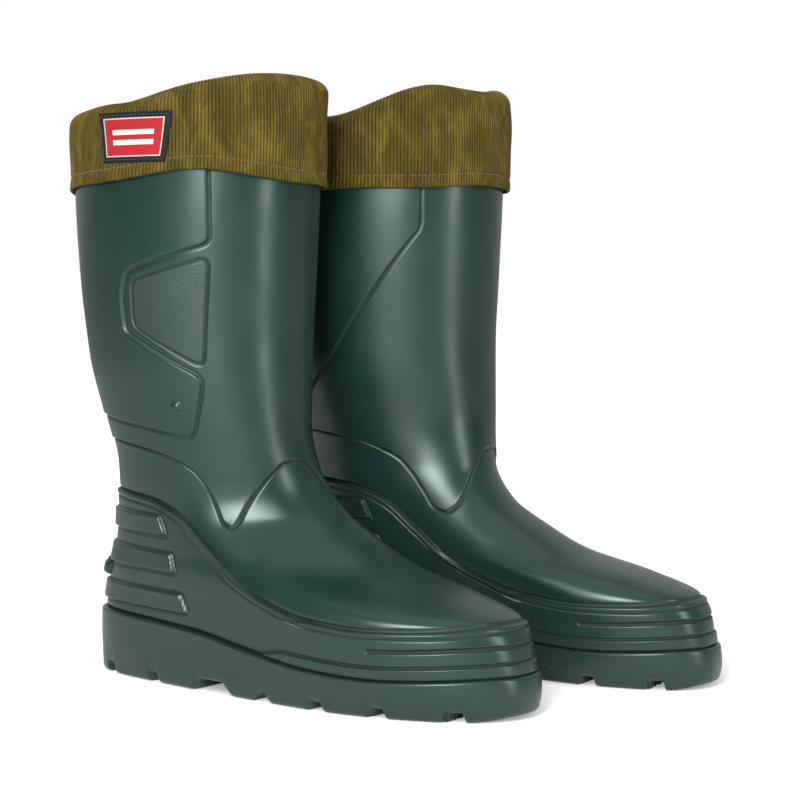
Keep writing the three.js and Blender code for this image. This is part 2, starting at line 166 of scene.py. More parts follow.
def normals(angle, z):
    turn = upper(angle + 0.01, z) - upper(angle - 0.01, z)
    rise = upper(angle, z + 1.0) - upper(angle, z - 1.0)
    n = np.cross(turn, rise)
    return n / np.linalg.norm(n, axis=-1, keepdims=True)


def level_normals(angle, z):
    n = normals(angle, z)
    n[..., 2] = 0
    return n / np.linalg.norm(n, axis=-1, keepdims=True)


def lining_points(angle, z, depth):
    """Points at a depth inside the outline, which is read higher up over the sloping foot."""
    in_foot = smooth(z, 24, height(0.4)) - smooth(z, height(1), height(1.15))
    p = upper(angle, z + 0.7 * depth * in_foot, depth)
    p[..., 2] = z
    return p


def height_on(line, angle):
    """Height at which the outline meets a line given as heights over x."""
    low, high = np.full(np.shape(angle), 5.0), np.full(np.shape(angle), 160.0)
    for _ in range(26):
        z = (low + high) / 2
        above = z > line(upper(angle, z)[..., 0])
        low, high = np.where(above, low, z), np.where(above, z, high)
    return (low + high) / 2


def fold_height(angle):
    """The cuff's fold, low over the calf and high over the shin."""
    x = upper(angle, np.full(np.shape(angle), SHELL_HEIGHT))[..., 0] / FOOT_LENGTH
    return CUFF_BACK + (CUFF_FRONT - CUFF_BACK) * smooth(x, -0.092, 0.164)


# ------------------------------------------------------------------ lines and areas on the boot

def rounded(points, radius):
    """A closed outline with its corners rounded."""
    out = []
    pts = [np.array(p, float) for p in points]
    for i, p in enumerate(pts):
        a, b = pts[i - 1] - p, pts[(i + 1) % len(pts)] - p
        la, lb = np.linalg.norm(a), np.linalg.norm(b)
        r = min(radius, la / 2, lb / 2)
        for t in np.linspace(0, 1, 6):
            out.append((1 - t) ** 2 * (p + a / la * r) + 2 * t * (1 - t) * p + t ** 2 * (p + b / lb * r))
    return np.array(out)


def depth_in(outline, x, z):
    """Distance into a closed outline, negative outside it."""
    best = np.full(x.shape, 1e9)
    inside = np.zeros(x.shape, bool)
    for (x0, z0), (x1, z1) in zip(outline, np.roll(outline, -1, 0)):
        dx, dz = x1 - x0, z1 - z0
        size = dx * dx + dz * dz
        if size < 1e-9:
            continue
        t = np.clip(((x - x0) * dx + (z - z0) * dz) / size, 0, 1)
        best = np.minimum(best, np.hypot(x - x0 - t * dx, z - z0 - t * dz))
        if z0 != z1:
            cross = (z0 > z) != (z1 > z)
            inside ^= cross & (x < dx * (z - z0) / dz + x0)
    return np.where(inside, best, -best)


def across_surface(gradient, n):
    """Size of a gradient along the surface."""
    flat = gradient - np.sum(gradient * n, -1, keepdims=True) * n
    return np.maximum(np.linalg.norm(flat, axis=-1), 0.15)


def distance_over(line, p, n):
    """Distance along the surface from a line given as heights over x, positive above it."""
    x = p[..., 0]
    slope = line(x + 0.5) - line(x - 0.5)
    gradient = np.stack([-slope, 0 * x, 0 * x + 1], -1)
    return (p[..., 2] - line(x)) / across_surface(gradient, n)


def distance_over_ankle(p, n):
    x, y = p[..., 0] + 5, p[..., 1]
    turn = np.degrees(np.arctan2(y, x))
    slope = (ankle_line(np.abs(turn) + 0.5) - ankle_line(np.abs(turn) - 0.5)) * np.sign(turn)
    slope = np.degrees(slope) / (x * x + y * y)
    gradient = np.stack([slope * y, -slope * x, 0 * x + 1], -1)
    return (p[..., 2] - ankle_line(np.abs(turn))) / across_surface(gradient, n)


OUTER_PANEL = rounded([(-150, 350), (35.5, 350), (35, 272), (-19, 256), (-23.5, 240), (-22, 219),
                       (28, 192), (26, 180), (20, 156), (-20, 162.5), (-60, 167), (-150, 169)], 5)
INNER_PANEL = rounded([(-150, 350), (36, 350), (35.5, 283), (-24, 201), (-46, 178), (-60, 168),
                       (-150, 169)], 5)
PATCH = rounded([(-15, 250), (35, 263.5), (29.5, 198), (-15, 222)], 6)
HEEL_BARS = [rounded(bar, 2) for bar in (
    [(-140, 109), (-9, 106.5), (-4, 94.5), (-140, 96.5)],
    [(-140, 87), (0, 84), (3.5, 72), (-140, 73)],
    [(-140, 61), (6.5, 59.5), (11.5, 47.5), (-140, 48.5)])]
NUB = (11.7, 174.5, 3.0)  # its place and its radius
SPUR = (67.5, 22.0, 6.0)  # its height, and half its width and its thickness
STRIP_FROM = (71, 77)  # the strip round the toes fades in over this stretch
SLOT_HEIGHT, SLOT_FROM = 17.5, 150

# How far the moulding's details stand out, and how deep the patch lies
BEAD_RISE, STRIP_RISE, BAR_RISE, SPUR_RISE = 0.5, 1.3, 2.0, 6.0
PANEL_RISE, NUB_RISE, SHAFT_RISE, PATCH_DEPTH = 1.2, 1.8, 0.9, 0.2

# The line round the ankle: degrees round the boot from the toes, and its height
ankle_line = curve([(0, 140.5), (8, 139.5), (15, 134), (23, 124.5), (30, 114), (35, 106), (39, 102.5),
                    (43, 105), (47, 114), (51, 122), (56, 129), (63, 135.5), (75, 141), (95, 146.5),
                    (120, 150), (140, 151.5), (180, 152)])


def relief(p, n):
    """How far the moulding stands out from the plain outline above the sole, the painted shade in its grooves
    and its patch.
    """
    x, y, z = p[..., 0], p[..., 1], p[..., 2]
    outer = y < np.interp(z, [0, 60, 140], [3, 3, 0])
    out, groove_shades = np.zeros(x.shape), np.zeros(x.shape)

    # each cut sinks a groove and marks it for painted shade, which darkens the colour there
    def cut(distance, half, depth, where=1.0):
        shape = np.exp(-1.6 * (distance / half) ** 2) * where
        np.subtract(out, depth * shape, out=out)
        np.maximum(groove_shades, min(depth, 1.0) * shape, out=groove_shades)

    # rand, its beaded upper edge, and the strip and slot round the toes
    drop = -distance_over(rand_top, p, n)
    out += RAND_RIM * smooth(drop, -0.5, 0.8) + BEAD_RISE * np.exp(-((drop - 1.5) / 0.9) ** 2)
    cut(drop + 0.7, 1.1, 1.5)
    cut(drop - 4.0, 0.8, 0.8)
    rise = distance_over(sole_top, p, n)
    strip = SOLE_BAND * np.sqrt(smooth(x, 72, 96))
    out += STRIP_RISE * (1 - smooth(rise, strip - 0.6, strip + 0.4)) * smooth(x, *STRIP_FROM)
    cut(rise - strip - 0.7, 0.9, 0.8, smooth(x, *STRIP_FROM))
    cut(rise, 1.3, 1.4)
    slot = np.hypot(np.maximum(np.abs(rise - SLOT_HEIGHT) - 0.5, 0), np.maximum(SLOT_FROM - x, 0))
    cut(slot, 0.9, 1.3)

    # heel
    for bar in HEEL_BARS:
        inside = depth_in(bar, x, z)
        out += BAR_RISE * smooth(inside, -0.6, 0.7)
        cut(inside + 1.0, 0.8, 0.45)
    middle, half_wide, half_tall = SPUR
    spur = np.clip(1 - (np.abs(y) / half_wide) ** 4 - (np.abs(z - middle) / half_tall) ** 4, 0, 1)
    out += SPUR_RISE * np.sqrt(spur) * (x < 0)

    # raised panel, its outline, the grained patch and the nub on the outer side
    panel = np.where(outer, depth_in(OUTER_PANEL, x, z), depth_in(INNER_PANEL, x, z))
    out += PANEL_RISE * smooth(panel, -0.5, 0.8)
    cut(panel + 1.0, 0.9, 0.7)
    patch = np.where(outer, depth_in(PATCH, x, z), -99)
    cut(patch, 1.0, 1.1)
    out -= PATCH_DEPTH * smooth(patch, 0, 2)
    nub = np.hypot(x - NUB[0], z - NUB[1]) / NUB[2]
    out += np.where(outer, NUB_RISE * np.sqrt(np.clip(1 - nub ** 2, 0, 1)), 0)

    # the shaft stands out over the foot along the ankle's line
    over = distance_over_ankle(p, n)
    out += SHAFT_RISE * smooth(over, -0.5, 0.7) * (1 - smooth(z, 165, 230)) * (z > 90)
    cut(over + 0.7, 0.9, 0.9, z > 90)
    return out, groove_shades, patch


def grid_faces(rows, columns, closed=True):
    r = np.arange(rows - 1)[:, None]
    c = np.arange(columns if closed else columns - 1)[None, :]
    n = (c + 1) % columns
    quads = np.stack([r * columns + c, r * columns + n, (r + 1) * columns + n, (r + 1) * columns + c], -1)
    return quads.reshape(-1, 4)


def grid_normals(points, closed=True):
    """Smooth normals over a grid of points whose columns run round a boot."""
    if closed:
        across = np.roll(points, -1, 1) - np.roll(points, 1, 1)
    else:
        across = np.gradient(points, axis=1)
    n = np.cross(across, np.gradient(points, axis=0))
    return n / np.maximum(np.linalg.norm(n, axis=-1, keepdims=True), 1e-9)


# ------------------------------------------------------------------ placing pieces in the frame

class Boot:
    """One boot's place: its side, which way it turns and where its shaft's axis stands."""

    def __init__(self, side):
        self.side = side
        self.mirror = 1 if side == "right" else -1
        turn = math.radians(TOE_OUT) * -self.mirror
        self.turn = np.array([[math.cos(turn), -math.sin(turn)], [math.sin(turn), math.cos(turn)]])
        angle = np.linspace(0, 2 * math.pi, 720, endpoint=False)
        z = np.linspace(0, SHELL_HEIGHT, 300)[:, None]
        rim = np.where(z < height_on(sole_top, angle), SOLE_RIM, 0)
        outline = upper(angle, z) + level_normals(angle, z) * rim[..., None]
        flat = self.turned(outline.reshape(-1, 3))
        low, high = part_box(f"{side}_shell")
        middle = (np.array(low) + np.array(high))[:2] / 2 / MM
        self.origin = middle - (flat.min(0) + flat.max(0))[:2] / 2

    def turned(self, points):
        p = points * np.array([1, self.mirror, 1])
        return np.column_stack([p[:, :2] @ self.turn.T, p[:, 2]])

    def placed(self, points):
        p = self.turned(points)
        p[:, :2] += self.origin
        return p * MM

    def piece(self, name, points, faces, material, slot, replaces=(), smooth_normals=None, attributes=None):
        """A mesh piece that rides on this boot's body. Faces wind for the right boot."""
        faces = np.asarray(faces)
        if self.mirror < 0:
            faces = faces[:, ::-1]
        mesh = bpy.data.meshes.new(f"{self.side}_{name}")
        mesh.vertices.add(len(points))
        mesh.vertices.foreach_set("co", self.placed(points).astype(np.float32).ravel())
        size = faces.shape[1]
        mesh.loops.add(faces.size)
        mesh.loops.foreach_set("vertex_index", faces.astype(np.int32).ravel())
        mesh.polygons.add(len(faces))
        mesh.polygons.foreach_set("loop_start", np.arange(0, faces.size, size, dtype=np.int32))
        mesh.polygons.foreach_set("use_smooth", np.ones(len(faces), bool))
        for key, values in (attributes or {}).items():
            layer = mesh.attributes.new(key, "FLOAT", "POINT")
            layer.data.foreach_set("value", values.astype(np.float32).ravel())
        mesh.update(calc_edges=True)
        mesh.validate()
        if smooth_normals is not None:
            mesh.normals_split_custom_set_from_vertices(self.turned(smooth_normals).astype(np.float32))
        mesh.materials.append(material)
        obj = bpy.data.objects.new(mesh.name, mesh)
        bpy.context.scene.collection.objects.link(obj)
        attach(obj, f"{self.side}_boot")
        if replaces:
            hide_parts(*[f"{self.side}_{n}" for n in replaces])
        return obj


# ------------------------------------------------------------------ materials

def nodes_of(name):
    material = bpy.data.materials.new(name)
    material.use_nodes = True
    tree = material.node_tree
    shader = tree.nodes["Principled BSDF"]
    return material, tree, shader


def link(tree, source, target):
    tree.links.new(source, target)


def noise(tree, scale, detail=3.0, rough=0.5, distortion=0.0, coordinates=None):
    if coordinates is None:
        coordinates = tree.nodes.new("ShaderNodeTexCoord").outputs["Object"]
    node = tree.nodes.new("ShaderNodeTexNoise")
    node.inputs["Scale"].default_value = scale
    node.inputs["Detail"].default_value = detail
    node.inputs["Roughness"].default_value = rough
    node.inputs["Distortion"].default_value = distortion
    link(tree, coordinates, node.inputs["Vector"])
    return node.outputs["Fac"]


def ramp(tree, source, stops):
    node = tree.nodes.new("ShaderNodeValToRGB")
    elements = node.color_ramp.elements
    while len(elements) < len(stops):
        elements.new(0.5)
    for element, (place, colour) in zip(elements, stops):
        element.position = place
        element.color = (*colour, 1) if hasattr(colour, "__len__") else (colour, colour, colour, 1)
    link(tree, source, node.inputs["Fac"])
    return node.outputs["Color"]


def mix(tree, factor, a, b, blend="MIX"):
    node = tree.nodes.new("ShaderNodeMix")
    node.data_type = "RGBA"
    node.blend_type = blend
    for socket, value in ((node.inputs[0], factor), (node.inputs[6], a), (node.inputs[7], b)):
        if isinstance(value, bpy.types.NodeSocket):
            link(tree, value, socket)
        elif hasattr(value, "__len__"):
            socket.default_value = (*value, 1)
        else:
            socket.default_value = value
    return node.outputs[2]


def calc(tree, operation, a, b=0.0):
    node = tree.nodes.new("ShaderNodeMath")
    node.operation = operation
    for socket, value in ((node.inputs[0], a), (node.inputs[1], b)):
        if isinstance(value, bpy.types.NodeSocket):
            link(tree, value, socket)
        else:
            socket.default_value = value
    return node.outputs[0]


def attribute(tree, name):
    node = tree.nodes.new("ShaderNodeAttribute")
    node.attribute_name = name
    return node.outputs["Fac"]


def bump(tree, shader, source, strength, distance):
    node = tree.nodes.new("ShaderNodeBump")
    node.inputs["Strength"].default_value = strength
    node.inputs["Distance"].default_value = distance
    link(tree, source, node.inputs["Height"])
    if shader.inputs["Normal"].links:
        link(tree, shader.inputs["Normal"].links[0].from_socket, node.inputs["Normal"])
    link(tree, node.outputs["Normal"], shader.inputs["Normal"])


def eva_material():
    material, tree, shader = nodes_of("eva_foam")
    cloud = noise(tree, 9, 3, 0.55)
    colour = ramp(tree, cloud, [(0.3, (0.0046, 0.0195, 0.0155)), (0.7, (0.0070, 0.0238, 0.0194))])
    patch, groove_shade = attribute(tree, "grain"), attribute(tree, "groove_shade")
    colour = mix(tree, patch, colour, (0.011, 0.0265, 0.0225))
    low = attribute(tree, "scuff")
    dust = calc(tree, "MULTIPLY", low, noise(tree, 60, 4, 0.7))
    colour = mix(tree, calc(tree, "MULTIPLY", dust, 0.3), colour, (0.03, 0.042, 0.035))
    # painted shade: the colour goes near black in the grooves and on the ledge under the rand
    colour = mix(tree, calc(tree, "MULTIPLY", groove_shade, 0.8), colour, (0.001, 0.0035, 0.003))
    link(tree, colour, shader.inputs["Base Color"])
    rough = ramp(tree, noise(tree, 35, 5, 0.6), [(0.35, 0.3), (0.7, 0.37)])
    rough = calc(tree, "ADD", rough, calc(tree, "MULTIPLY", patch, 0.2))
    rough = calc(tree, "ADD", rough, calc(tree, "MULTIPLY", groove_shade, 0.4))
    link(tree, rough, shader.inputs["Roughness"])
    shader.inputs["Specular IOR Level"].default_value = 0.55
    shader.inputs["Specular Tint"].default_value = (0.8, 1.0, 0.93, 1)
    bump(tree, shader, noise(tree, 1400, 2, 0.5), 0.05, 0.0002)
    bump(tree, shader, noise(tree, 45, 2, 0.5), 0.06, 0.001)
    grain = calc(tree, "MULTIPLY", noise(tree, 800, 3, 0.7), patch)
    bump(tree, shader, grain, 0.6, 0.0006)
    return material


def corduroy_material():
    material, tree, shader = nodes_of("corduroy")
    place = tree.nodes.new("ShaderNodeTexCoord").outputs["Object"]
    stretch = tree.nodes.new("ShaderNodeMapping")
    stretch.inputs["Scale"].default_value = (1, 1, 0.45)
    link(tree, place, stretch.inputs["Vector"])
    nap = noise(tree, 85, 6, 0.72, 0.3, stretch.outputs["Vector"])
    colour = ramp(tree, nap, [(0.3, (0.040, 0.027, 0.0026)), (0.5, (0.074, 0.052, 0.005)),
                              (0.7, (0.138, 0.102, 0.0125))])
    fine = ramp(tree, noise(tree, 900, 3, 0.7), [(0.3, 0.7), (0.7, 1.2)])
    colour = mix(tree, 0.6, colour, fine, "MULTIPLY")
    # painted shade: the colour darkens towards the bottom of each valley between the wales
    wale = attribute(tree, "wale")
    valley_shade = ramp(tree, wale, [(0.0, 0.18), (0.6, 1.0)])
    colour = mix(tree, 0.85, colour, valley_shade, "MULTIPLY")
    link(tree, colour, shader.inputs["Base Color"])
    shader.inputs["Roughness"].default_value = 0.92
    shader.inputs["Specular IOR Level"].default_value = 0.2
    shader.inputs["Sheen Weight"].default_value = 0.08
    shader.inputs["Sheen Roughness"].default_value = 0.5
    shader.inputs["Sheen Tint"].default_value = (0.7, 0.6, 0.35, 1)
    bump(tree, shader, noise(tree, 1300, 3, 0.7), 0.5, 0.0004)
    bump(tree, shader, nap, 0.35, 0.001)
    return material


def cloth_material(name, dark, light, scale, depth, rough=0.95, sheen=0.3):
    material, tree, shader = nodes_of(name)
    colour = ramp(tree, noise(tree, scale, 5, 0.7), [(0.3, dark), (0.7, light)])
    link(tree, colour, shader.inputs["Base Color"])
    shader.inputs["Roughness"].default_value = rough
    shader.inputs["Specular IOR Level"].default_value = 0.2
    shader.inputs["Sheen Weight"].default_value = sheen
    bump(tree, shader, noise(tree, scale * 2.5, 4, 0.75), 0.8, depth)
    return material


def foil_material():
    material, tree, shader = nodes_of("foil")
    colour = ramp(tree, noise(tree, 80, 3), [(0.3, (0.55, 0.56, 0.58)), (0.7, (0.75, 0.76, 0.78))])
    link(tree, colour, shader.inputs["Base Color"])
    shader.inputs["Metallic"].default_value = 1.0
    shader.inputs["Roughness"].default_value = 0.3
    bump(tree, shader, noise(tree, 220, 4, 0.7), 0.4, 0.0008)
    return material


def label_material():
    """A woven badge: red field, black border, two pale bars and nothing written."""
    material, tree, shader = nodes_of("woven_label")
    across, up = attribute(tree, "across"), attribute(tree, "up")
    side = calc(tree, "ABSOLUTE", across)
    rise = calc(tree, "ABSOLUTE", calc(tree, "SUBTRACT", up, 0.5))

    def inside(value, edge):
        return calc(tree, "LESS_THAN", value, edge)

    field = calc(tree, "MULTIPLY", inside(side, 0.80), inside(rise, 0.36))
    line = calc(tree, "MULTIPLY", inside(side, 0.835), inside(rise, 0.385))
    colour = mix(tree, line, (0.006, 0.006, 0.006), (0.42, 0.4, 0.38))
    colour = mix(tree, field, colour, (0.33, 0.012, 0.018))
    reach = inside(side, 0.58)
    for centre, tall in ((0.6, 0.05), (0.4, 0.05)):
        bar = inside(calc(tree, "ABSOLUTE", calc(tree, "SUBTRACT", up, centre)), tall)
        colour = mix(tree, calc(tree, "MULTIPLY", bar, reach), colour, (0.55, 0.53, 0.5))
    weave = noise(tree, 1800, 2, 0.6)
    colour = mix(tree, 0.5, colour, ramp(tree, weave, [(0.3, 0.6), (0.7, 1.15)]), "MULTIPLY")
    link(tree, colour, shader.inputs["Base Color"])
    shader.inputs["Roughness"].default_value = 0.75
    shader.inputs["Specular IOR Level"].default_value = 0.25
    ribs = calc(tree, "SINE", calc(tree, "MULTIPLY", up, 330.0))
    bump(tree, shader, ribs, 0.35, 0.0002)
    bump(tree, shader, weave, 0.5, 0.0002)
    return material


EVA = eva_material()
CORDUROY = corduroy_material()
FLEECE = cloth_material("fleece", (0.30, 0.27, 0.21), (0.50, 0.46, 0.37), 260, 0.002, sheen=0.6)
INSOLE = cloth_material("insole_felt", (0.035, 0.04, 0.036), (0.075, 0.08, 0.075), 500, 0.0006)
FELT = cloth_material("felt", (0.2, 0.19, 0.17), (0.34, 0.33, 0.3), 420, 0.0008)
FOAM = cloth_material("foam", (0.6, 0.58, 0.5), (0.75, 0.73, 0.65), 700, 0.0006, sheen=0.0)
TAPE = cloth_material("tape", (0.05, 0.042, 0.022), (0.1, 0.085, 0.05), 900, 0.0003)
THREAD = cloth_material("thread", (0.05, 0.036, 0.008), (0.13, 0.095, 0.028), 1500, 0.0002)
BLACK_THREAD = cloth_material("label_thread", (0.008, 0.008, 0.008), (0.02, 0.02, 0.02), 1500, 0.0002)
FOIL = foil_material()
LABEL = label_material()


# ------------------------------------------------------------------ the moulded shell

COLUMNS = 840
AROUND = np.linspace(0, 2 * math.pi, COLUMNS, endpoint=False)


def evened(values, reach):
    """Values round the boot, averaged over their neighbours."""
    weights = np.hanning(2 * reach + 3)[1:-1]
    wrapped = np.concatenate([values[-reach:], values, values[:reach]])
    return np.convolve(wrapped, weights / weights.sum(), "valid")


def share_rows(start, end, count):
    """Heights between two guides that lie evenly along the surface, for every column."""
    t = np.linspace(0, 1, 160)[:, None]
    z = start + (end - start) * t
    p = upper(AROUND, z)
    step = np.linalg.norm(np.diff(p, axis=0), axis=-1) + 1e-6
    run = np.vstack([np.zeros(COLUMNS), np.cumsum(step, 0)])
    run /= run[-1]
    wanted = np.linspace(0, 1, count)
    return np.stack([np.interp(wanted, run[:, i], z[:, i]) for i in range(COLUMNS)], 1)


def tread_profile(x):
    """Height of the sole's underside along the foot."""
    z = np.zeros(np.shape(x))
    for share, width in HEEL_GROOVES + BALL_GROOVES:
        off = np.abs(x - share * FOOT_LENGTH)
        z = np.maximum(z, TREAD_DEPTH * (1 - smooth(off, width / 2 - 0.4, width / 2 + 1.8)))
    arch = np.minimum(x - 0.03 * FOOT_LENGTH, 0.142 * FOOT_LENGTH - x)
    z = np.maximum(z, 8 * smooth(arch, -1, 7))
    return np.maximum(z, 3 * smooth(x, 0.67 * FOOT_LENGTH, 0.74 * FOOT_LENGTH))


def sole_wall(sole, rows):
    """Rings up the sole's side, from its rounded lower edge to the ledge under the rand."""
    foot = upper(AROUND, sole)
    outward = level_normals(AROUND, sole)
    under = tread_profile(foot[:, 0] + outward[:, 0] * SOLE_RIM)
    wall = []
    for t in np.linspace(0, 1, rows):
        z = under + (sole - SOLE_STEP - under) * t
        lift = np.clip(1 - (z - under) / SOLE_EDGE_ROUND, 0, 1)
        belly = 0.6 * math.sin(math.pi * t)
        rim = SOLE_RIM + belly - SOLE_EDGE_ROUND * (1 - np.sqrt(1 - lift ** 2 * 0.98))
        q = upper(AROUND, z) + level_normals(AROUND, z) * rim[:, None]
        q[:, 2] = z
        wall.append(q)
    for rim, rise in ((4.35, -0.9), (3.9, -0.35), (2.6, 0.0), (0.6, 0.1), (-1.0, 0.0)):
        q = foot + outward * rim
        q[:, 2] = sole + rise
        wall.append(q)
    return np.array(wall)


def underside(edge):
    """Rings from the sole's lower edge in to its spine, which the tread's grooves cross."""
    spine = np.clip(edge[:, 0], *SPINE_ENDS)
    rings = [edge]
    for inset in (4, 9, 15, 22, 30, SOLE_HALF_WIDTH):
        share = 1 - inset / SOLE_HALF_WIDTH
        q = edge.copy()
        q[:, 0] = spine + (edge[:, 0] - spine) * share
        q[:, 1] = SPINE_SIDE + (edge[:, 1] - SPINE_SIDE) * share
        q[:, 2] = tread_profile(q[:, 0])
        rings.append(q)
    return np.array(rings)


def build_sole(boot, sole, rows):
    wall = sole_wall(sole, rows)
    rings = np.vstack([underside(wall[0])[::-1], wall[1:]])
    plain = np.zeros(rings.shape[:2])
    # the ledge's top rings, under the rand, are marked for painted shade
    groove_shade = plain.copy()
    groove_shade[-2:] = 1
    boot.piece("sole", rings.reshape(-1, 3), grid_faces(len(rings), COLUMNS), EVA, "eva", replaces=("shell",),
               attributes={"grain": plain, "groove_shade": groove_shade, "scuff": 1 - smooth(rings[..., 2], 0, 60)})


def build_shell(boot):
    sole_rows, rand_rows, foot_rows, shaft_rows = ((44, 100, 160, 210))
    sole = height_on(sole_top, AROUND)
    build_sole(boot, sole, sole_rows)
    rand = evened(height_on(rand_top, AROUND), COLUMNS // 36)
    split = np.full(COLUMNS, FOOT_TOP)
    top = np.full(COLUMNS, SHELL_HEIGHT)
    z = np.vstack([
        share_rows(sole, rand, rand_rows)[:-1],
        share_rows(rand, split, foot_rows)[:-1],
        share_rows(split, top, shaft_rows),
    ])
    angle = np.broadcast_to(AROUND, z.shape)
    base = upper(angle, z)
    facing = normals(angle, z)
    out, groove_shades, patch = relief(base, facing)
    slant = smooth(z - rand, 0, 10)[..., None]
    n = level_normals(angle, z) * (1 - slant) + facing * slant
    n /= np.linalg.norm(n, axis=-1, keepdims=True)
    skin = base + n * out[..., None]

    whole = grid_normals(skin)
    # the grooves' painted shade goes along with the pieces as an attribute
    looks = {"grain": smooth(patch, 0.4, 2.0), "groove_shade": groove_shades, "scuff": 1 - smooth(skin[..., 2], 10, 60)}
    first = 0
    for name, count in (("rand", rand_rows - 1), ("vamp", foot_rows // 2), ("ankle", foot_rows // 2 - 1),
                        ("lower_shaft", shaft_rows // 2), ("calf_shaft", shaft_rows // 2 - 1)):
        part = slice(first, first + count + 1)
        boot.piece(name, skin[part].reshape(-1, 3), grid_faces(count + 1, COLUMNS), EVA, "eva",
                   replaces=("shell",), smooth_normals=whole[part].reshape(-1, 3),
                   attributes={key: values[part] for key, values in looks.items()})
        first += count


# ------------------------------------------------------------------ the liner and its cuff

WALES = 218
WALE_HEIGHT = 0.75
CUFF_OUTSIDE = 3.2  # from the shell's outline, as is the next
CUFF_INSIDE = -18.0
CUFF_THICK = 2.4
EDGE_TURN = 12.0  # cloth turned back up under the lower edge
HEM_STITCHES = 150
LINING_DROP = 22.0  # from the fold to the lining's upper edge


def waves(angle, z, seed, size):
    """Slow, repeatable unevenness of hand-turned cloth."""
    rng = np.random.default_rng(seed)
    total = np.zeros(np.broadcast_shapes(np.shape(angle), np.shape(z)))
    for k in range(2, 12):
        a, b, c = rng.uniform(0, 2 * math.pi, 3)
        rise = z / rng.uniform(9, 26) + b + 0.7 * np.sin(2 * angle + c)
        total = total + np.sin(k * angle + a) * np.sin(rise) / k
    return size * total


def cloth_seed(boot):
    return 5 if boot.side == "right" else 9


def edge_flare(rise):
    """The cuff hangs a little away from the shaft at its edge, and the hem's thread draws it in."""
    return 0.9 * (1 - smooth(rise, 0, 14)) - 0.6 * np.exp(-((rise - HEM) / 1.5) ** 2)


def unevenness(boot, angle, z, rise):
    seed = cloth_seed(boot)
    return waves(angle, z, seed, 0.9) * smooth(rise, 0, 12) + waves(angle, z * 2.2, seed + 1, 0.35)


def cuff_surface(boot, angle, t):
    """The cuff's section: t from 0 at the lower edge, over the fold, to 1 inside the mouth."""
    rng = np.random.default_rng(11 if boot.side == "right" else 23)
    phase = rng.uniform(0, 2 * math.pi, 4)
    fold = fold_height(angle) + 1.2 * np.sin(3 * angle + phase[0]) + 0.9 * np.sin(5 * angle + phase[1])
    low = CUFF_BOTTOM + 2.3 + 1.4 * np.sin(2 * angle + phase[2]) + 0.7 * np.sin(5 * angle + phase[3])
    if boot.side == "right":
        near = np.angle(np.exp(1j * (angle - math.radians(-50))))
        behind = np.angle(np.exp(1j * (angle - math.pi)))
        low = low + 6.0 * np.exp(-(near / 0.7) ** 2) - 4.0 * np.exp(-(behind / 0.8) ** 2)
    shoulder, tuck = 9.0, 30.0
    wide = (CUFF_OUTSIDE - CUFF_INSIDE) / 2
    wall = fold - shoulder - low
    arc = 0.49 * math.pi * (wide + shoulder)
    run = t * (wall + arc + tuck - shoulder)
    theta = np.clip((run - wall) / arc, 0, 1) * math.pi
    out = CUFF_INSIDE + wide * (1 + np.cos(theta)) + edge_flare(run)
    z = low + np.clip(run, 0, wall) + shoulder * np.sin(theta) - np.clip(run - wall - arc, 0, None)
    return out, z, run


def build_cuff(boot):
    per_wale = 6
    columns = WALES * per_wale
    rows = 62
    angle = np.linspace(0, 2 * math.pi, columns, endpoint=False)
    t = np.linspace(0, 1, rows)[:, None]
    out, z, run = cuff_surface(boot, angle, t)
    out = out + unevenness(boot, angle, z, run)
    lean = waves(angle, z, cloth_seed(boot) + 2, 0.004)
    wale = 0.5 + 0.5 * np.cos(2 * math.pi * np.arange(columns) / per_wale)
    wale = np.broadcast_to(wale, z.shape)
    worn = 0.8 + 0.25 * np.sin(angle * 7 + z / 9) * np.sin(angle * 3 - z / 14)
    base = upper(angle + lean, np.minimum(z, SHELL_HEIGHT))
    n = level_normals(angle, np.full(z.shape, CUFF_BOTTOM))
    base[..., 2] = z
    middle = base + n * out[..., None]
    face = grid_normals(middle)
    points = middle + face * (WALE_HEIGHT * wale * worn)[..., None]
    # the cut edge turns back under the cloth
    under = points[0] - n[0] * CUFF_THICK
    tip = points[0] - n[0] * CUFF_THICK / 2
    tip[:, 2] -= 0.9
    deep = under.copy()
    deep[:, 2] += EDGE_TURN
    points = np.vstack([deep[None], under[None], tip[None], points])
    # the turned-back rows get a middling wale value, so they are painted half in shade under the edge
    wale = np.vstack([np.full((3, columns), 0.3), wale])
    return boot.piece("cuff_corduroy", points.reshape(-1, 3), grid_faces(len(points), columns), CORDUROY,
                      "corduroy", replaces=("cuff",), attributes={"wale": wale})


def on_cuff(boot, angle, z, lift):
    """Points that lie on the outside of the cuff's wales."""
    angle, z = np.broadcast_arrays(np.asarray(angle, float), np.asarray(z, float))
    _, low, _ = cuff_surface(boot, angle, np.zeros(angle.shape))
    rise = z - low
    out = CUFF_OUTSIDE + edge_flare(rise) + unevenness(boot, angle, z, rise)
    base = upper(angle, np.minimum(z, SHELL_HEIGHT))
    base[..., 2] = z
    return base + level_normals(angle, np.full(z.shape, CUFF_BOTTOM)) * (out + lift)[..., None]


def stitches(boot, name, starts, ends, outwards, thick, material, replaces):
    """A row of stitches: one rounded lozenge of thread from each start to its end."""
    sides, rings = 6, (-1, -0.82, -0.4, 0, 0.4, 0.82, 1)
    points, faces = [], []
    for a, b, n in zip(starts, ends, outwards):
        along = (b - a) / 2
        middle = (a + b) / 2
        length = np.linalg.norm(along)
        if length < 1e-6:
            continue
        side = np.cross(along / length, n)
        first = len(points)
        for r in rings:
            wide = thick * math.sqrt(max(1 - abs(r) ** 3, 0.02))
            for k in range(sides):
                turn = 2 * math.pi * k / sides
                points.append(middle + along * r + (side * math.cos(turn) + n * math.sin(turn)) * wide)
        for r in range(len(rings) - 1):
            for k in range(sides):
                m = (k + 1) % sides
                faces.append((first + r * sides + k, first + r * sides + m,
                              first + (r + 1) * sides + m, first + (r + 1) * sides + k))
    return boot.piece(name, np.array(points), faces, material, "thread", replaces=replaces)


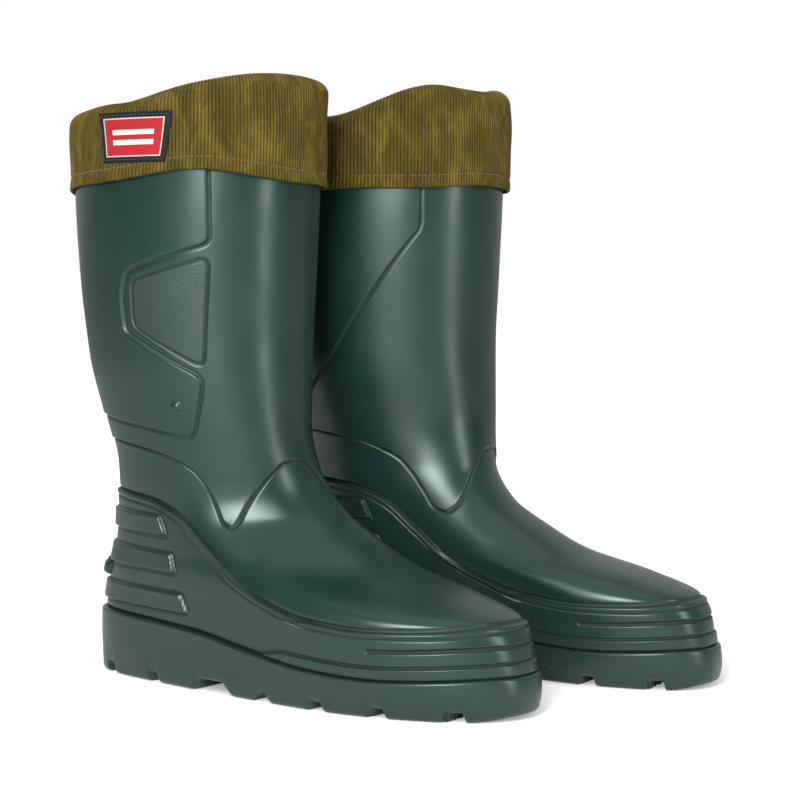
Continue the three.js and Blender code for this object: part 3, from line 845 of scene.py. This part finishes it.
def build_hem(boot):
    angle = np.linspace(0, 2 * math.pi, HEM_STITCHES, endpoint=False)
    _, low, _ = cuff_surface(boot, angle, np.zeros(HEM_STITCHES))
    step = 2 * math.pi / HEM_STITCHES
    starts = on_cuff(boot, angle + 0.12 * step, low + HEM, 0.35)
    ends = on_cuff(boot, angle + 0.86 * step, low + HEM, 0.35)
    n = level_normals(angle, np.full(HEM_STITCHES, CUFF_BOTTOM))
    stitches(boot, "hem_stitches", starts, ends, n, 0.42, THREAD, ("hem_stitch",))


LABEL_MIDDLE = math.radians(-83)
LABEL_TOP, LABEL_BOTTOM, LABEL_TALL, LABEL_LIFT = 46.0, 37.0, 30.0, 14.0
LABEL_HALF_WIDTH = 21.0
LABEL_BACK, LABEL_STITCHES = 0.1, 1.45  # their distances out from the cuff
CUFF_RADIUS = 71.0  # where the label lies


def on_label(boot, across, up, lift):
    """Points of the label: across from -1 to 1 and up from 0 to 1, lifted off the cuff."""
    z = CUFF_BOTTOM + LABEL_LIFT + up * LABEL_TALL
    wide = LABEL_BOTTOM + (LABEL_TOP - LABEL_BOTTOM) * up
    angle = LABEL_MIDDLE + across * wide / 2 / CUFF_RADIUS
    return on_cuff(boot, angle, z, lift), angle


def build_label(boot):
    columns, rows = 72, 36
    across = np.linspace(-1, 1, columns)[None, :] + np.zeros((rows, 1))
    up = np.linspace(0, 1, rows)[:, None] + np.zeros((1, columns))
    edge = np.minimum((1 - np.abs(across)) * LABEL_HALF_WIDTH, np.minimum(up, 1 - up) * LABEL_TALL)
    lift = 0.75 + 0.75 * np.sqrt(np.clip(edge / 1.2, 0, 1)) - 0.18 * np.exp(-((edge - 2) / 0.7) ** 2)
    front, _ = on_label(boot, across, up, lift)
    back, _ = on_label(boot, across, up, np.full(up.shape, LABEL_BACK))
    count = rows * columns
    faces = list(grid_faces(rows, columns, closed=False))
    border = [(0, c) for c in range(columns)]
    border += [(r, columns - 1) for r in range(1, rows)]
    border += [(rows - 1, c) for c in range(columns - 2, -1, -1)]
    border += [(r, 0) for r in range(rows - 2, 0, -1)]
    ring = [r * columns + c for r, c in border]
    for a, b in zip(ring, ring[1:] + ring[:1]):
        faces.append((a + count, b + count, b, a))
    for quad in grid_faces(rows, columns, closed=False):
        faces.append(tuple(quad[::-1] + count))
    points = np.vstack([front.reshape(-1, 3), back.reshape(-1, 3)])
    both = {"across": np.concatenate([across.ravel()] * 2), "up": np.concatenate([up.ravel()] * 2)}
    piece = boot.piece("woven_label", points, faces, LABEL, "label", replaces=("label",), attributes=both)

    starts, ends, outs = [], [], []
    side, low = 0.92, 0.06
    runs = ((16, lambda t: (-side + 2 * side * t, low)), (16, lambda t: (-side + 2 * side * t, 1 - low)),
            (11, lambda t: (-side, low + (1 - 2 * low) * t)), (11, lambda t: (side, low + (1 - 2 * low) * t)))
    for count, where in runs:
        for k in range(count):
            a, turn = on_label(boot, *map(np.array, where((k + 0.14) / count)), np.array(LABEL_STITCHES))
            b, _ = on_label(boot, *map(np.array, where((k + 0.86) / count)), np.array(LABEL_STITCHES))
            starts.append(a)
            ends.append(b)
            outs.append(level_normals(turn, np.array(float(CUFF_BOTTOM))))
    stitches(boot, "label_stitches", starts, ends, outs, 0.28, BLACK_THREAD, ("label_stitch",))
    return piece


def build_lining(boot):
    columns = 320
    rows = 170
    angle = np.linspace(0, 2 * math.pi, columns, endpoint=False)
    top = fold_height(angle) - LINING_DROP
    floor = INSOLE_TOP - 4
    share = np.linspace(0, 1, rows)[:, None] ** 1.35
    z = floor + (top - floor) * share
    pile = 0.5 * np.sin(angle * 90 + z * 1.3) * np.sin(z * 1.9 + angle * 31)
    soft = waves(angle, z, 41, 0.8)
    fluff = (pile * 0.35 + soft * 0.5 + 0.4) * smooth(z, floor, floor + 10)
    points = lining_points(angle, z, LINER_DEPTH + 0.3 + fluff)
    inward = grid_faces(rows, columns)[:, ::-1]
    piece = boot.piece("fleece_lining", points.reshape(-1, 3), inward, FLEECE, "fleece",
                       replaces=("liner_fleece",))
    return piece


def build_insole(boot):
    columns = 200
    angle = np.linspace(0, 2 * math.pi, columns, endpoint=False)
    outline = lining_points(angle, np.full(columns, INSOLE_TOP), LINER_DEPTH + 1.2)
    spine = np.clip(outline[:, 0], *FOOTBED_SPINE)
    rings = []
    side = [(1.0, -5.0), (1.0, -1.2), (0.985, -0.3)]
    top = [(share, 0.0) for share in (0.96, 0.9, 0.8, 0.65, 0.5, 0.35, 0.2, 0.08)]
    for share, rise in side + top:
        q = outline.copy()
        q[:, 0] = spine + (outline[:, 0] - spine) * share
        q[:, 1] = FOOTBED_SIDE + (outline[:, 1] - FOOTBED_SIDE) * share
        if rise == 0:
            cup = np.clip(np.abs(q[:, 1] - FOOTBED_SIDE) / FOOTBED_HALF_WIDTH, 0, 1)
            rise = -FOOTBED_CUP * (1 - cup ** 2)
        q[:, 2] = INSOLE_TOP + rise
        rings.append(q)
    points = np.array(rings)
    piece = boot.piece("footbed", points.reshape(-1, 3), grid_faces(len(points), columns), INSOLE,
                       "insole", replaces=("insole",))
    return piece


def build_boot(side):
    boot = Boot(side)
    build_shell(boot)
    cuff = build_cuff(boot)
    label = build_label(boot)
    build_hem(boot)
    build_lining(boot)
    build_insole(boot)
    looks = {"liner_felt": FELT, "liner_foil": FOIL, "liner_foam": FOAM, "binding": TAPE}
    for name, material in looks.items():
        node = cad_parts[f"{side}_{name}"]
        node.data.materials.clear()
        node.data.materials.append(material)
    return boot


right = build_boot("right")
build_boot("left")


# ------------------------------------------------------------------ floor, light and camera

FLOOR_REACH = 9.0
FLOOR_GLOW = (0.3, 0.86)
ROOM = (0.14, 0.62)


def build_floor():
    """A pale floor, lifted a little where it is seen directly, so that it runs into the backdrop."""
    material, tree, shader = nodes_of("pale_floor")
    place = tree.nodes.new("ShaderNodeTexCoord").outputs["Object"]
    far = tree.nodes.new("ShaderNodeVectorMath")
    far.operation = "LENGTH"
    link(tree, place, far.inputs[0])
    share = calc(tree, "DIVIDE", far.outputs["Value"], FLOOR_REACH)
    link(tree, ramp(tree, noise(tree, 3, 2), [(0.3, 0.84), (0.7, 0.86)]), shader.inputs["Base Color"])
    glow = ramp(tree, share, [(0.03, FLOOR_GLOW[0]), (0.16, FLOOR_GLOW[1])])
    seen = tree.nodes.new("ShaderNodeLightPath").outputs["Is Camera Ray"]
    link(tree, mix(tree, seen, (0, 0, 0), glow), shader.inputs["Emission Color"])
    shader.inputs["Emission Strength"].default_value = 1.0
    shader.inputs["Roughness"].default_value = 0.9
    shader.inputs["Specular IOR Level"].default_value = 0.1
    mesh = bpy.data.meshes.new("floor")
    r = FLOOR_REACH
    mesh.from_pydata([(-r, -r, 0), (r, -r, 0), (r, r, 0), (-r, r, 0)], [], [(0, 1, 2, 3)])
    mesh.materials.append(material)
    floor = bpy.data.objects.new("floor", mesh)
    floor.location.z = -0.0003
    bpy.context.scene.collection.objects.link(floor)


def area_light(name, place, target, size, power, colour=(1, 1, 1)):
    data = bpy.data.lights.new(name, "AREA")
    data.shape = "RECTANGLE"
    data.size, data.size_y = size
    data.energy = power
    data.color = colour
    light = bpy.data.objects.new(name, data)
    light.location = place
    light.rotation_euler = (Vector(target) - Vector(place)).to_track_quat("-Z", "Y").to_euler()
    bpy.context.scene.collection.objects.link(light)
    return light


def around(azimuth, distance, rise):
    a = math.radians(azimuth)
    return (math.sin(a) * distance, -math.cos(a) * distance, rise)


def build_lights():
    world = bpy.data.worlds.new("studio")
    world.use_nodes = True
    tree = world.node_tree
    behind = tree.nodes.new("ShaderNodeVectorMath")
    behind.operation = "DOT_PRODUCT"
    link(tree, tree.nodes.new("ShaderNodeTexCoord").outputs["Generated"], behind.inputs[0])
    a = math.radians(CAMERA_AZIMUTH)
    behind.inputs[1].default_value = (-math.sin(a), math.cos(a), 0)
    room = ramp(tree, behind.outputs["Value"], [(0.1, ROOM[0]), (0.75, ROOM[1])])
    seen = tree.nodes.new("ShaderNodeLightPath").outputs["Is Camera Ray"]
    colour = mix(tree, seen, room, (1.0, 1.0, 1.0))
    link(tree, colour, tree.nodes["Background"].inputs["Color"])
    bpy.context.scene.world = world
    middle = (0, 0, 0.17)
    area_light("overhead", (0.1, -0.1, 2.0), middle, (1.6, 1.6), 8)
    area_light("key", around(CAMERA_AZIMUTH - 15, 1.8, 1.0), middle, (0.75, 1.2), 64)
    area_light("strip", around(CAMERA_AZIMUTH + 58, 1.6, 0.7), middle, (0.22, 1.3), 13)


def build_camera():
    data = bpy.data.cameras.new("camera")
    data.lens = CAMERA_LENS
    data.sensor_width = 36
    data.dof.use_dof = False
    data.clip_end = 60
    camera = bpy.data.objects.new("camera", data)
    a = math.radians(CAMERA_AZIMUTH)
    target = right.placed(np.array([[CAMERA_AHEAD, 0, 0]]))[0]
    reach = CAMERA_DISTANCE * MM
    camera.location = (target[0] + math.sin(a) * reach, target[1] - math.cos(a) * reach, CAMERA_HEIGHT * MM)
    camera.rotation_euler = (math.pi / 2 - math.radians(CAMERA_DROP), 0, a)
    bpy.context.scene.collection.objects.link(camera)
    bpy.context.scene.camera = camera


build_floor()
build_lights()
build_camera()
bpy.context.scene.view_settings.view_transform = "Standard"
